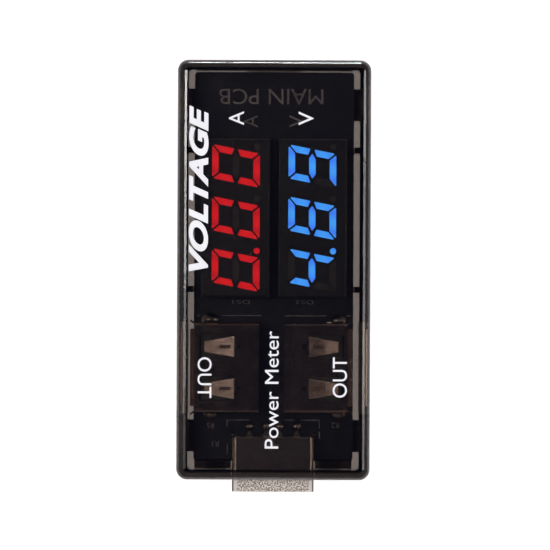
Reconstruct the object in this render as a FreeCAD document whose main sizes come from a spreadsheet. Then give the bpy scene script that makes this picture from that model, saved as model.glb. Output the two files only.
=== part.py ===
import FreeCAD, Part
import os

import Sketcher

# A pocket USB power meter, lying on its back cover.
# +Z points out of the display side, +Y points away from the plug and +X to the reader's right.
# The origin is under the middle of the meter, on the plane that the back cover rests on.

doc = FreeCAD.newDocument("usb_power_meter")

# ---------------------------------------------------------------- driving dimensions, millimetres

SIZES = {
    # snap-together case
    "case_width": "28.4",
    "case_length": "61.6",
    "case_depth": "13.0",
    "case_corner": "1.6",
    "case_edge": "1.4",
    "side_wall": "1.65",
    "end_wall": "1.5",
    "front_wall": "1.2",
    "back_wall": "1.2",
    "inner_corner": "0.6",
    "split_height": "6.5",
    "lip_height": "1.0",
    "lip_thickness": "0.7",
    "lip_play": "0.08",
    "catch_thickness": "0.72",
    "catch_play": "0.1",
    "catch_top": "9.6",
    "catch_nose": "0.35",
    "far_catch_along": "55.05",
    "near_catch_along": "6.45",
    "catch_length": "4.7",
    "far_rib_along": "48.35",
    "near_rib_along": "27.95",
    "rib_length": "0.9",
    "shelf_width": "1.9",
    "end_rib_reach": "11.55",
    "end_rib_gap": "0.15",
    "end_ledge": "0.35",
    "end_rib_top": "8.4",
    # main board
    "board_gap": "1.8",
    "board_thickness": "1.6",
    "board_width": "23.5",
    "board_length": "57.4",
    "board_along": "2.6",
    "board_corner": "0.5",
    # three-digit displays, lying side by side with their digits turned a quarter
    "display_width": "10.1",
    "display_length": "23.2",
    "display_tall": "6.1",
    "display_offset": "5.6",
    "display_along": "38.4",
    "display_foot": "0.2",
    "display_edge": "0.3",
    "digit_tall": "7.02",
    "digit_width": "5.0",
    "digit_pitch": "7.64",
    "digit_lean": "0.2",
    "segment_width": "0.97",
    "segment_gap": "0.17",
    "segment_depth": "1.2",
    "segment_round": "0.12",
    "waist_outer": "0.25",
    "waist_inner": "0.64",
    "bar_tip": "0.62",
    "bar_shoulder": "1.42",
    "point_radius": "0.46",
    "point_across": "2.82",
    "point_down": "3.08",
    "pin_thickness": "0.5",
    "pin_pitch": "2.54",
    "pin_rows": "7.62",
    "pin_tip": "1.0",
    "pin_drill": "0.45",
    # USB-A sockets
    "socket_along": "16.45",
    "left_inset": "2.7",
    "right_inset": "3.25",
    "socket_length": "9.4",
    "socket_width": "13.1",
    "socket_tall": "5.72",
    "socket_rise": "0.64",
    "sheet_metal": "0.3",
    "shell_corner": "0.45",
    "lip_flare": "0.5",
    "lip_reach": "0.7",
    "opening_length": "13.5",
    "opening_low": "5.05",
    "opening_high": "11.15",
    "spring_spread": "3.07",
    "spring_root": "5.8",
    "spring_tip": "1.4",
    "spring_bend": "3.2",
    "spring_dip": "0.5",
    "spring_root_width": "3.1",
    "spring_tip_width": "1.3",
    "spring_window": "3.5",
    "window_front": "0.6",
    "relief_radius": "0.3",
    "relief_along": "6.4",
    "spring_play": "0.06",
    "tongue_width": "11.1",
    "tongue_thickness": "1.84",
    "tongue_gap": "0.64",
    "tongue_start": "0.9",
    "socket_block": "7.4",
    "contact_width": "1.0",
    "contact_thickness": "0.2",
    "contact_tip": "1.6",
    "contact_crest": "2.6",
    "contact_root": "7.2",
    "contact_bulge": "0.35",
    "contact_groove": "0.5",
    "outer_contact": "3.5",
    "inner_contact": "1.0",
    "tail_thickness": "0.4",
    "tail_width": "0.6",
    "tail_along": "8.3",
    "leg_along": "2.1",
    "leg_width": "1.6",
    # USB-A plug
    "plug_reach": "1.8",
    "plug_inside": "6.15",
    "plug_width": "12.0",
    "plug_tall": "4.5",
    "plug_corner": "0.6",
    "dimple_radius": "0.8",
    "dimple_width": "0.2",
    "dimple_depth": "0.15",
    "dimple_along": "4.3",
    "plug_rise": "0.1",
    "plug_play": "0.22",
    "plug_tongue_width": "11.1",
    "plug_tongue_thickness": "1.9",
    "plug_block": "1.6",
    "plug_tail_reach": "1.8",
    "plug_tail_taper": "0.75",
    "plug_tail_width": "0.5",
    # parts on the back of the board
    "chip_width": "4.4",
    "chip_length": "6.5",
    "chip_tall": "1.0",
    "chip_lead_pitch": "0.65",
    "chip_lead_width": "0.25",
    "chip_lead_reach": "1.0",
    "regulator_width": "4.5",
    "regulator_length": "2.5",
    "regulator_tall": "1.4",
    "shunt_width": "3.2",
    "shunt_length": "6.3",
    "shunt_tall": "0.7",
    "small_width": "0.8",
    "small_length": "1.6",
    "resistor_tall": "0.45",
    "capacitor_tall": "0.8",
    "solder_radius": "0.8",
    "solder_tall": "0.7",
}

sheet = doc.addObject("Spreadsheet::Sheet", "Sizes")
for row, (alias, number) in enumerate(SIZES.items(), start=1):
    sheet.set("A%d" % row, alias)
    sheet.set("B%d" % row, number)
    sheet.setAlias("B%d" % row, alias)
doc.recompute()

# ---------------------------------------------------------------- places worked out from the sheet


def sized(text):
    """Puts the sheet's name in front of every alias that the words of an expression use."""
    words = text.replace("(", " ( ").replace(")", " ) ").split()
    return " ".join("Sizes." + word if word in SIZES else word for word in words)


def value(expression):
    """The number that an expression gives with the sheet's present values."""
    return float(sheet.evalExpression(sized(expression)))


def plus(*terms):
    """The sum of several expressions, each in its own brackets."""
    return " + ".join("( %s )" % term for term in terms)


def minus(first, second):
    """One expression less another, each in its own brackets."""
    return "( %s ) - ( %s )" % (first, second)


def along(distance):
    """A place on Y, counted from the case's plug end."""
    return plus("plug_reach / 2 - case_length / 2", distance)


FOOT = along("0")
HEAD = along("case_length")
INNER_X = "case_width / 2 - side_wall"
INNER_FOOT = along("end_wall")
INNER_HEAD = along("case_length - end_wall")
CEILING = "case_depth - front_wall"
LIP_TOP = "split_height + lip_height"
BOARD_BACK = "back_wall + board_gap"
BOARD_FACE = "back_wall + board_gap + board_thickness"
BOARD_X = "board_width / 2"
DISPLAY_FACE = plus(BOARD_FACE, "display_foot + display_tall")

# ---------------------------------------------------------------- modelling steps that all pieces share

bodies = []


def new_body(label):
    """A body for one sub-part; its label is the name of its file."""
    body = doc.addObject("PartDesign::Body", label)
    body.Label = label
    bodies.append(body)
    return body


def draw(sketch, outlines):
    """Draws closed outlines and ties their corners, centres and radii to the sheet.

    An outline is a list of corners, or a tuple of a circle's centre and radius, all as expressions.
    """
    joins = []
    ties = []
    for outline in outlines:
        first = sketch.GeometryCount
        if isinstance(outline, tuple):
            across, up, radius = outline
            centre = FreeCAD.Vector(value(across), value(up), 0)
            sketch.addGeometry(Part.Circle(centre, FreeCAD.Vector(0, 0, 1), value(radius)), False)
            ties += [("DistanceX", (-1, 1, first, 3), across), ("DistanceY", (-1, 1, first, 3), up)]
            ties += [("Radius", (first,), radius)]
            continue
        count = len(outline)
        spots = [FreeCAD.Vector(value(across), value(up), 0) for across, up in outline]
        sketch.addGeometry([Part.LineSegment(spots[i], spots[(i + 1) % count]) for i in range(count)], False)
        for corner, (across, up) in enumerate(outline):
            line = first + corner
            joins.append(Sketcher.Constraint("Coincident", line, 2, first + (corner + 1) % count, 1))
            ties += [("DistanceX", (-1, 1, line, 1), across), ("DistanceY", (-1, 1, line, 1), up)]
    sketch.addConstraint(joins)
    distances = [Sketcher.Constraint(kind, *points, value(text)) for kind, points, text in ties]
    indexes = sketch.addConstraint(distances)
    for index, (kind, points, text) in zip(indexes, ties):
        sketch.setExpression("Constraints[%d]" % index, sized(text))


def prism(body, name, plane, outlines, low, high, cut=False):
    """Outlines on one of the body's planes, added or cut from low to high along that plane's axis."""
    sketch = body.newObject("Sketcher::SketchObject", body.Label + "_" + name + "_sketch")
    planes = [feature for feature in body.Origin.OriginFeatures if feature.Role == plane + "_Plane"]
    sketch.AttachmentSupport = [(planes[0], "")]
    sketch.MapMode = "FlatFace"
    start = minus("0", high) if plane == "XZ" else low
    sketch.setExpression("AttachmentOffset.Base.z", sized(start))
    draw(sketch, outlines)
    kind = "PartDesign::Pocket" if cut else "PartDesign::Pad"
    feature = body.newObject(kind, body.Label + "_" + name)
    feature.Profile = sketch
    feature.Reversed = cut
    feature.setExpression("Length", sized(minus(high, low)))
    doc.recompute()
    return feature


def rectangle(left, right, bottom, top):
    """The four corners of an upright rectangle."""
    return [(left, bottom), (right, bottom), (right, top), (left, top)]


def centred(middle_across, middle_up, width, tall):
    """A rectangle given by its middle and its two sizes."""
    left = plus(middle_across, "- ( %s ) / 2" % width)
    right = plus(middle_across, "( %s ) / 2" % width)
    bottom = plus(middle_up, "- ( %s ) / 2" % tall)
    top = plus(middle_up, "( %s ) / 2" % tall)
    return rectangle(left, right, bottom, top)


def both_sides(left, right, bottom, top):
    """One rectangle on the +X side and its mirror image on the -X side."""
    mirrored = rectangle(minus("0", right), minus("0", left), bottom, top)
    return [rectangle(left, right, bottom, top), mirrored]


def round_edges(body, name, base, radius, wanted):
    """Rounds the edges of a feature that the wanted function picks."""
    edges = enumerate(base.Shape.Edges, start=1)
    names = ["Edge%d" % number for number, edge in edges if wanted(edge)]
    fillet = body.newObject("PartDesign::Fillet", body.Label + "_" + name)
    fillet.Base = (base, names)
    fillet.setExpression("Radius", sized(radius))
    doc.recompute()
    return fillet


def upright(edge):
    """True for an edge that runs along Z."""
    box = edge.BoundBox
    return box.ZLength > 1e-3 and box.XLength < 1e-3 and box.YLength < 1e-3


def level_at(height):
    """A test for edges that lie level at one height."""
    target = value(height)
    return lambda edge: edge.BoundBox.ZLength < 1e-3 and abs(edge.BoundBox.ZMin - target) < 1e-3


def stand(body, across, up, height, turn=0.0):
    """Puts a body that was drawn about its own origin at its place in the meter."""
    body.Placement = FreeCAD.Placement(
        FreeCAD.Vector(0, 0, 0), FreeCAD.Rotation(FreeCAD.Vector(0, 0, 1), turn)
    )
    body.setExpression("Placement.Base.x", sized(across))
    body.setExpression("Placement.Base.y", sized(up))
    body.setExpression("Placement.Base.z", sized(height))


# ---------------------------------------------------------------- case: two smoked covers that snap together

OUTSIDE = rectangle("- case_width / 2", "case_width / 2", FOOT, HEAD)
CAVITY = rectangle(minus("0", INNER_X), INNER_X, INNER_FOOT, INNER_HEAD)
LEDGE_HALF = plus(INNER_X, "lip_thickness")
CATCHES = {"far_catch": "far_catch_along", "near_catch": "near_catch_along"}
RIBS = {"far_rib": "far_rib_along", "near_rib": "near_rib_along"}
CATCH_INSIDE = plus(INNER_X, "- catch_play - catch_thickness")
CATCH_OUTSIDE = plus(INNER_X, "- catch_play")
RIB_INSIDE = plus(BOARD_X, "catch_play")


def stretch(middle, length, grown="0"):
    """The lower and upper Y of a feature of one length whose middle is a distance along the case."""
    half = plus("( %s ) / 2" % length, grown)
    return minus(along(middle), half), plus(along(middle), half)


def lip_outline(grown):
    """The outline of the tongue that joins the covers, grown by the play around it."""
    half = plus(INNER_X, "lip_thickness", grown)
    foot = minus(INNER_FOOT, plus("lip_thickness", grown))
    head = plus(INNER_HEAD, "lip_thickness", grown)
    return rectangle(minus("0", half), half, foot, head)


def cut_openings(cover):
    """The two socket openings in the long walls and the plug slot in the end wall."""
    near, far = stretch("socket_along", "opening_length")
    sides = both_sides(plus(INNER_X, "- 1"), "case_width / 2 + 1", near, far)
    prism(cover, "socket_openings", "XY", sides, "opening_low", "opening_high", cut=True)
    half = "plug_width / 2 + plug_play"
    slot = [rectangle(minus("0", half), half, plus(FOOT, "- 1"), plus(INNER_FOOT, "1"))]
    slot_low = plus(BOARD_FACE, "plug_rise - plug_play")
    slot_high = plus(BOARD_FACE, "plug_rise + plug_tall + plug_play")
    prism(cover, "plug_slot", "XY", slot, slot_low, slot_high, cut=True)


def make_front_cover():
    """The display side: a box open at the split, with ribs that hold the board down."""
    cover = new_body("front_cover")
    shell = prism(cover, "shell", "XY", [OUTSIDE], "split_height", "case_depth")
    shell = round_edges(cover, "corners", shell, "case_corner", upright)
    round_edges(cover, "front_edge", shell, "case_edge", level_at("case_depth"))
    hollow = prism(cover, "hollow", "XY", [CAVITY], "split_height", CEILING, cut=True)
    inner = value(INNER_X)
    round_edges(cover, "inner_corners", hollow, "inner_corner",
                lambda edge: upright(edge) and abs(abs(edge.BoundBox.XMin) - inner) < 1e-3)
    groove_top = plus(LIP_TOP, "lip_play")
    prism(cover, "groove", "XY", [lip_outline("lip_play")], "split_height", groove_top, cut=True)
    for name, middle in CATCHES.items():
        near, far = stretch(middle, "catch_length", "0.3")
        pocket = both_sides(plus(INNER_X, "- 0.5"), plus(CATCH_OUTSIDE, "catch_nose + 0.15"), near, far)
        prism(cover, name + "_pocket", "XY", pocket, "catch_top - 1.2", "catch_top", cut=True)
    for name, middle in RIBS.items():
        near, far = stretch(middle, "rib_length")
        web = both_sides(RIB_INSIDE, CATCH_OUTSIDE, near, far)
        prism(cover, name, "XY", web, plus(BOARD_FACE, "0.05"), CEILING)
        root = both_sides(plus(CATCH_OUTSIDE, "- 0.2"), plus(INNER_X, "0.2"), near, far)
        prism(cover, name + "_root", "XY", root, plus(LIP_TOP, "lip_play + 0.1"), CEILING)
        foot = both_sides(plus(BOARD_X, "- 0.4"), plus(RIB_INSIDE, "0.2"), near, far)
        prism(cover, name + "_foot", "XY", foot, plus(BOARD_FACE, "0.05"), plus(BOARD_FACE, "1.2"))
    rib_near = "plug_width / 2 + end_rib_gap"
    end_web = both_sides(rib_near, "end_rib_reach", plus(INNER_FOOT, "catch_play"),
                         minus(along("board_along"), "catch_play"))
    prism(cover, "end_rib", "XY", end_web, plus(BOARD_BACK, "0.3"), "end_rib_top")
    end_ledge = both_sides(rib_near, "end_rib_reach", plus(INNER_FOOT, "catch_play"),
                           plus(along("board_along"), "end_ledge"))
    prism(cover, "end_ledge", "XY", end_ledge, plus(BOARD_FACE, "0.05"), "end_rib_top")
    end_root = both_sides(rib_near, "end_rib_reach", plus(INNER_FOOT, "- 0.2"), plus(INNER_FOOT, "0.3"))
    prism(cover, "end_rib_root", "XY", end_root, plus(LIP_TOP, "lip_play + 0.1"), "end_rib_top")
    cut_openings(cover)


def make_back_cover():
    """The resting side: a tray with a raised lip, snap catches and shelves under the board."""
    cover = new_body("back_cover")
    shell = prism(cover, "shell", "XY", [OUTSIDE], "0", "split_height")
    shell = round_edges(cover, "corners", shell, "case_corner", upright)
    round_edges(cover, "back_edge", shell, "case_edge", level_at("0"))
    prism(cover, "lip", "XY", [lip_outline("0")], "split_height - 0.5", LIP_TOP)
    hollow = prism(cover, "hollow", "XY", [CAVITY], "back_wall", plus(LIP_TOP, "1"), cut=True)
    inner = value(INNER_X)
    round_edges(cover, "inner_corners", hollow, "inner_corner",
                lambda edge: upright(edge) and abs(abs(edge.BoundBox.XMin) - inner) < 1e-3)
    for name, middle in CATCHES.items():
        near, far = stretch(middle, "catch_length")
        root = both_sides(CATCH_INSIDE, plus(INNER_X, "0.2"), near, far)
        prism(cover, name + "_root", "XY", root, "back_wall - 0.2", LIP_TOP)
        arm = both_sides(CATCH_INSIDE, CATCH_OUTSIDE, near, far)
        prism(cover, name + "_arm", "XY", arm, plus(LIP_TOP, "- 0.2"), "catch_top - 0.2")
        nose_edge = plus(CATCH_OUTSIDE, "catch_nose")
        nose = [(plus(CATCH_OUTSIDE, "- 0.2"), "catch_top - 1.0"), (nose_edge, "catch_top - 0.9"),
                (nose_edge, "catch_top - 0.7"), (plus(CATCH_OUTSIDE, "- 0.2"), "catch_top - 0.25")]
        mirrored = [(minus("0", across), up) for across, up in nose]
        prism(cover, name + "_nose", "XZ", [nose, mirrored], near, far)
    for name, middle in RIBS.items():
        near, far = stretch(middle, "rib_length")
        shelf = both_sides(plus(INNER_X, "- shelf_width"), plus(INNER_X, "0.2"), near, far)
        prism(cover, name + "_shelf", "XY", shelf, "back_wall - 0.2", BOARD_BACK)
    end_shelves = [
        rectangle("- 4", "4", plus(INNER_HEAD, "- 1"), plus(INNER_HEAD, "0.2")),
        rectangle("7", "10", plus(INNER_FOOT, "- 0.2"), plus(INNER_FOOT, "2.2")),
        rectangle("- 10", "- 7", plus(INNER_FOOT, "- 0.2"), plus(INNER_FOOT, "2.2")),
    ]
    prism(cover, "end_shelves", "XY", end_shelves, "back_wall - 0.2", BOARD_BACK)
    cut_openings(cover)


# ---------------------------------------------------------------- main board

SIDES = {"left": "- 1", "right": "1"}
MOUTHS = {"left": "case_width / 2 - left_inset", "right": "case_width / 2 - right_inset"}
PIN_STEPS = [-2.5, -1.5, -0.5, 0.5, 1.5, 2.5]
CONTACTS = ["- outer_contact", "- inner_contact", "inner_contact", "outer_contact"]


def display_pin_places():
    """The middles of all twenty-four display pins on the board."""
    places = []
    for side in SIDES.values():
        for row in ("- 0.5", "0.5"):
            across = plus("%s * display_offset" % side, "%s * pin_rows" % row)
            for step in PIN_STEPS:
                places.append((across, plus(along("display_along"), "%s * pin_pitch" % step)))
    return places


def socket_tail_places():
    """The middles of the eight contact tails and of the four shell legs under the sockets."""
    tails = []
    legs = []
    for side, sign in SIDES.items():
        tail_across = "%s * ( %s - tail_along )" % (sign, MOUTHS[side])
        leg_across = "%s * ( %s - leg_along )" % (sign, MOUTHS[side])
        for contact in CONTACTS:
            tails.append((tail_across, plus(along("socket_along"), contact)))
        for end in ("- 1", "1"):
            leg_up = plus(along("socket_along"), "%s * ( socket_width / 2 - sheet_metal / 2 )" % end)
            legs.append((leg_across, leg_up))
    return tails, legs


def make_main_board():
    """A fibreglass board with drilled holes for the pins and slots for the socket legs."""
    board = new_body("main_board")
    start = along("board_along")
    outline = rectangle(minus("0", BOARD_X), BOARD_X, start, plus(start, "board_length"))
    plate = prism(board, "plate", "XY", [outline], BOARD_BACK, BOARD_FACE)
    round_edges(board, "corners", plate, "board_corner", upright)
    tails, legs = socket_tail_places()
    drilled = [(across, up, "pin_drill") for across, up in display_pin_places() + tails]
    below = plus(BOARD_BACK, "- 1")
    above = plus(BOARD_FACE, "1")
    prism(board, "pin_holes", "XY", drilled, below, above, cut=True)
    slots = [centred(across, up, "leg_width + 0.3", "sheet_metal + 0.3") for across, up in legs]
    prism(board, "leg_slots", "XY", slots, below, above, cut=True)


# ---------------------------------------------------------------- displays


def leaned(across, up):
    """A point of an upright digit, leaned over and turned so that the digit's top faces -X."""
    return minus("0", up), plus(across, "( %s ) * digit_lean" % up)


def segment_outline(name):
    """The corners of one of a digit's seven bars, a to g, about the digit's middle."""
    half = "digit_width / 2"
    top = "digit_tall / 2"
    side = 1 if name in "bc" else -1
    level = 1 if name in "abf" else -1
    if name in "ad":
        outer = "( %s ) - segment_gap" % half
        inner = "( %s ) - segment_width - segment_gap" % half
        low = "( %s ) - segment_width" % top
        flat = [("- ( %s )" % outer, top), (outer, top), (inner, low), ("- ( %s )" % inner, low)]
        return [(across, "%d * ( %s )" % (level, up)) for across, up in flat]
    if name in "bcef":
        inner_edge = "( %s ) - segment_width" % half
        flat = [(half, "waist_outer"), (half, "( %s ) - segment_gap" % top),
                (inner_edge, "( %s ) - segment_width - segment_gap" % top), (inner_edge, "waist_inner")]
        return [("%d * ( %s )" % (side, across), "%d * ( %s )" % (level, up)) for across, up in flat]
    tip = "( %s ) - bar_tip" % half
    shoulder = "( %s ) - bar_shoulder" % half
    thick = "segment_width / 2"
    return [(tip, "0"), (shoulder, thick), ("- ( %s )" % shoulder, thick),
            ("- ( %s )" % tip, "0"), ("- ( %s )" % shoulder, "- " + thick), (shoulder, "- " + thick)]


SEGMENTS_OF = {"0": "abcdef", "4": "bcfg", "8": "abcdefg", "9": "abcdfg"}
READINGS = {"left": "000", "right": "489"}
DIGIT_STEPS = [-1, 0, 1]


def digit_windows(reading, lit):
    """The outlines of a reading's lit bars, of its dark ones, or of all of them."""
    outlines = []
    for step, figure in zip(DIGIT_STEPS, reading):
        middle = "%d * digit_pitch" % step
        for name in "abcdefg":
            if lit is None or (name in SEGMENTS_OF[figure]) == lit:
                corners = [leaned(across, up) for across, up in segment_outline(name)]
                outlines.append([(across, plus(up, middle)) for across, up in corners])
        first = step == DIGIT_STEPS[0]
        if lit is None or first == lit:
            outlines.append(("point_down", plus(middle, "point_across"), "point_radius"))
    return outlines


def make_display(side, sign):
    """One display: moulded case, lit and dark light pieces set in its face, and its pins."""
    across = "%s * display_offset" % sign
    reading = READINGS[side]
    face = "display_foot + display_tall"

    case = new_body(side + "_display_case")
    block = [centred("0", "0", "display_width", "display_length")]
    moulding = prism(case, "block", "XY", block, "display_foot", face)
    top = value(face)
    round_edges(case, "top_edges", moulding, "display_edge",
                lambda edge: abs(edge.BoundBox.ZMin - top) < 1e-3)
    feet = [centred(x, y, "1", "1") for x in ("- 3.8", "3.8") for y in ("- 9.5", "9.5")]
    prism(case, "feet", "XY", feet, "0", "display_foot + 0.2")
    windows = digit_windows(reading, None)
    prism(case, "windows", "XY", windows, minus(face, "segment_depth"), plus(face, "1"), cut=True)
    stand(case, across, along("display_along"), BOARD_FACE)

    for name, lit in (("lit_segments", True), ("dark_segments", False)):
        light = new_body(side + "_display_" + name)
        bars = prism(light, "bars", "XY", digit_windows(reading, lit), minus(face, "segment_depth"), face)
        round_edges(light, "corners", bars, "segment_round",
                    lambda edge: upright(edge) and len(edge.Vertexes) == 2)
        stand(light, across, along("display_along"), BOARD_FACE)

    pins = new_body(side + "_display_pins")
    places = [(x, "%s * pin_pitch" % step) for x in ("- pin_rows / 2", "pin_rows / 2") for step in PIN_STEPS]
    rods = [centred(x, y, "pin_thickness", "pin_thickness") for x, y in places]
    prism(pins, "rods", "XY", rods, "- board_thickness - pin_tip", "display_foot")
    stand(pins, across, along("display_along"), BOARD_FACE)


# ---------------------------------------------------------------- sockets
# A socket is drawn with its mouth at x = 0, opening towards -X, and its foot on z = 0.

SHELL_LOW = "socket_rise"
SHELL_HIGH = "socket_rise + socket_tall"
SHELL_HALF = "socket_width / 2"
SPRING_PLACES = ["- spring_spread", "spring_spread"]


def make_socket_shell(body):
    """The folded steel shell: a flat tube with flared lips, a closed back, windows and legs."""
    outer = rectangle(minus("0", SHELL_HALF), SHELL_HALF, SHELL_LOW, SHELL_HIGH)
    tube = prism(body, "tube", "YZ", [outer], "0", "socket_length")
    round_edges(body, "corners", tube, "shell_corner", lambda edge: edge.BoundBox.XLength > 1)
    inside_half = plus(SHELL_HALF, "- sheet_metal")
    inside = rectangle(minus("0", inside_half), inside_half,
                       plus(SHELL_LOW, "sheet_metal"), plus(SHELL_HIGH, "- sheet_metal"))
    hollow = prism(body, "inside", "YZ", [inside], "- 1", "socket_length - sheet_metal", cut=True)
    inner = value(inside_half)
    round_edges(body, "inner_corners", hollow, "shell_corner - sheet_metal",
                lambda edge: edge.BoundBox.XLength > 1 and abs(abs(edge.BoundBox.YMin) - inner) < 1e-3)
    lip_half = "socket_width / 2 - 0.9"
    for name, edge, sign in (("front_lip", SHELL_HIGH, "1"), ("back_lip", SHELL_LOW, "- 1")):
        inner = plus(edge, "- %s * sheet_metal" % sign)
        profile = [("0.2", edge), ("0", edge), ("- lip_reach", plus(edge, "%s * lip_flare" % sign)),
                   ("- lip_reach", plus(inner, "%s * lip_flare" % sign)), ("0", inner), ("0.2", inner)]
        prism(body, name, "XZ", [profile], minus("0", lip_half), lip_half)
    lip_low = plus(SHELL_LOW, "0.9")
    lip_high = plus(SHELL_HIGH, "- 0.9")
    profiles = []
    for sign in ("1", "- 1"):
        edge = "%s * socket_width / 2" % sign
        inner = plus(edge, "- %s * sheet_metal" % sign)
        profiles.append([("0.2", edge), ("0", edge), ("- lip_reach", plus(edge, "%s * lip_flare" % sign)),
                         ("- lip_reach", plus(inner, "%s * lip_flare" % sign)), ("0", inner), ("0.2", inner)])
    prism(body, "side_lips", "XY", profiles, lip_low, lip_high)
    windows = [rectangle("window_front", "spring_root", plus(place, "- spring_window / 2"),
                         plus(place, "spring_window / 2")) for place in SPRING_PLACES]
    windows += [("relief_along", place, "relief_radius") for place in SPRING_PLACES]
    prism(body, "spring_windows", "XY", windows, "0", plus(SHELL_HIGH, "1"), cut=True)
    tail_slots = [centred("tail_along", place, "1.2", "1.2") for place in CONTACTS]
    prism(body, "tail_slots", "XY", tail_slots, "0", "socket_rise + sheet_metal + 0.1", cut=True)
    legs = [centred("leg_along", "%s * ( socket_width / 2 - sheet_metal / 2 )" % sign,
                    "leg_width", "sheet_metal") for sign in ("- 1", "1")]
    prism(body, "legs", "XY", legs, "- board_thickness - 0.8", plus(SHELL_LOW, "1"))


def spring_profile(edge, sign):
    """The side view of a leaf spring that slopes into the mouth and curls out again at its tip."""
    inner = plus(edge, "- %s * sheet_metal" % sign)
    dip = "- %s * spring_dip" % sign
    root = "spring_root - spring_play"
    return [(root, edge), ("spring_bend", plus(edge, dip)), ("spring_tip", edge),
            ("spring_tip", inner), ("spring_bend", plus(inner, dip)), (root, inner)]


def make_socket_springs(body, edge, sign):
    """A pair of tapered leaf springs that grip the plug's shell."""
    levels = sorted((value(edge) - 2 * value("sheet_metal") * int(sign.replace(" ", "")), value(edge)))
    prism(body, "leaves", "XZ", [spring_profile(edge, sign)], "- spring_spread - spring_root_width / 2",
          "spring_spread + spring_root_width / 2")
    trims = []
    root = "spring_root"
    tip = "spring_tip - 0.5"
    root_half = "spring_root_width / 2"
    tip_half = "spring_tip_width / 2"
    middle = "spring_spread"
    trims.append([(root, minus("0", minus(middle, root_half))), (tip, minus("0", minus(middle, tip_half))),
                  (tip, minus(middle, tip_half)), (root, minus(middle, root_half))])
    for flip in ("1", "- 1"):
        corners = [(root, plus(middle, root_half, "0.001")), (root, plus(middle, root_half, "1")),
                   (tip, plus(middle, root_half, "1")), (tip, plus(middle, tip_half))]
        trims.append([(across, "%s * ( %s )" % (flip, up)) for across, up in corners])
    low = "%.3f" % (levels[0] - 1)
    high = "%.3f" % (levels[1] + 1)
    prism(body, "taper", "XY", trims, low, high, cut=True)


def make_socket_tongue(body):
    """The white insulator: a block at the back and a tongue with a groove for each contact."""
    tongue_high = plus(SHELL_HIGH, "- sheet_metal - tongue_gap")
    tongue_low = minus(tongue_high, "tongue_thickness")
    block_high = plus(SHELL_HIGH, "- sheet_metal - 0.05")
    block_low = plus(SHELL_LOW, "sheet_metal + 0.05")
    half = "socket_width / 2 - sheet_metal - 0.05"
    block = rectangle(minus("0", half), half, block_low, block_high)
    prism(body, "block", "YZ", [block], "socket_block", "socket_length - sheet_metal - 0.05")
    tongue = rectangle("- tongue_width / 2", "tongue_width / 2", tongue_low, tongue_high)
    prism(body, "tongue", "YZ", [tongue], "tongue_start", "socket_block + 0.5")
    grooves = [centred("( contact_tip + contact_root ) / 2 - 0.1", place,
                       "contact_root - contact_tip + 0.6", "contact_width + 0.3") for place in CONTACTS]
    groove_high = plus(tongue_low, "contact_groove")
    prism(body, "grooves", "XY", grooves, minus(tongue_low, "1"), groove_high, cut=True)
    tail_holes = [centred("tail_along", place, "tail_thickness + 0.1", "tail_width + 0.1")
                  for place in CONTACTS]
    prism(body, "tail_holes", "XY", tail_holes, "0", plus(SHELL_LOW, "2"), cut=True)


def make_socket_contacts(body):
    """Four bent contact strips that press back into the tongue's grooves."""
    face = "socket_rise + socket_tall - sheet_metal - tongue_gap - tongue_thickness"
    top = plus(face, "contact_thickness")
    profile = [("contact_root", face), ("contact_crest + 0.6", minus(face, "contact_bulge")),
               ("contact_crest", minus(face, "contact_bulge")), ("contact_tip", face),
               ("contact_tip", top), ("contact_crest", minus(top, "contact_bulge")),
               ("contact_crest + 0.6", minus(top, "contact_bulge")), ("contact_root", top)]
    half = "contact_width / 2"
    for number, place in enumerate(CONTACTS, start=1):
        low = plus(place, "- contact_width / 2")
        high = plus(place, half)
        prism(body, "strip_%d" % number, "XZ", [profile], low, high)


def make_socket_tails(body):
    """Four tails that carry the contacts down through the board."""
    tails = [centred("tail_along", place, "tail_thickness", "tail_width") for place in CONTACTS]
    prism(body, "rods", "XY", tails, "- board_thickness - 0.9", plus(SHELL_LOW, "1.9"))


def make_socket(side, sign, turn):
    """All the pieces of one socket, put at one long wall of the case."""
    makers = {
        "shell": make_socket_shell,
        "front_springs": lambda body: make_socket_springs(body, SHELL_HIGH, "1"),
        "back_springs": lambda body: make_socket_springs(body, SHELL_LOW, "- 1"),
        "tongue": make_socket_tongue,
        "contacts": make_socket_contacts,
        "tails": make_socket_tails,
    }
    mouth = "%s * ( %s )" % (sign, MOUTHS[side])
    for name, make in makers.items():
        body = new_body(side + "_socket_" + name)
        make(body)
        stand(body, mouth, along("socket_along"), BOARD_FACE, turn)


# ---------------------------------------------------------------- plug
# The plug is drawn with its foot on z = 0 and its end at y = 0, reaching along +Y.

PLUG_LENGTH = "plug_reach + plug_inside"


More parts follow.
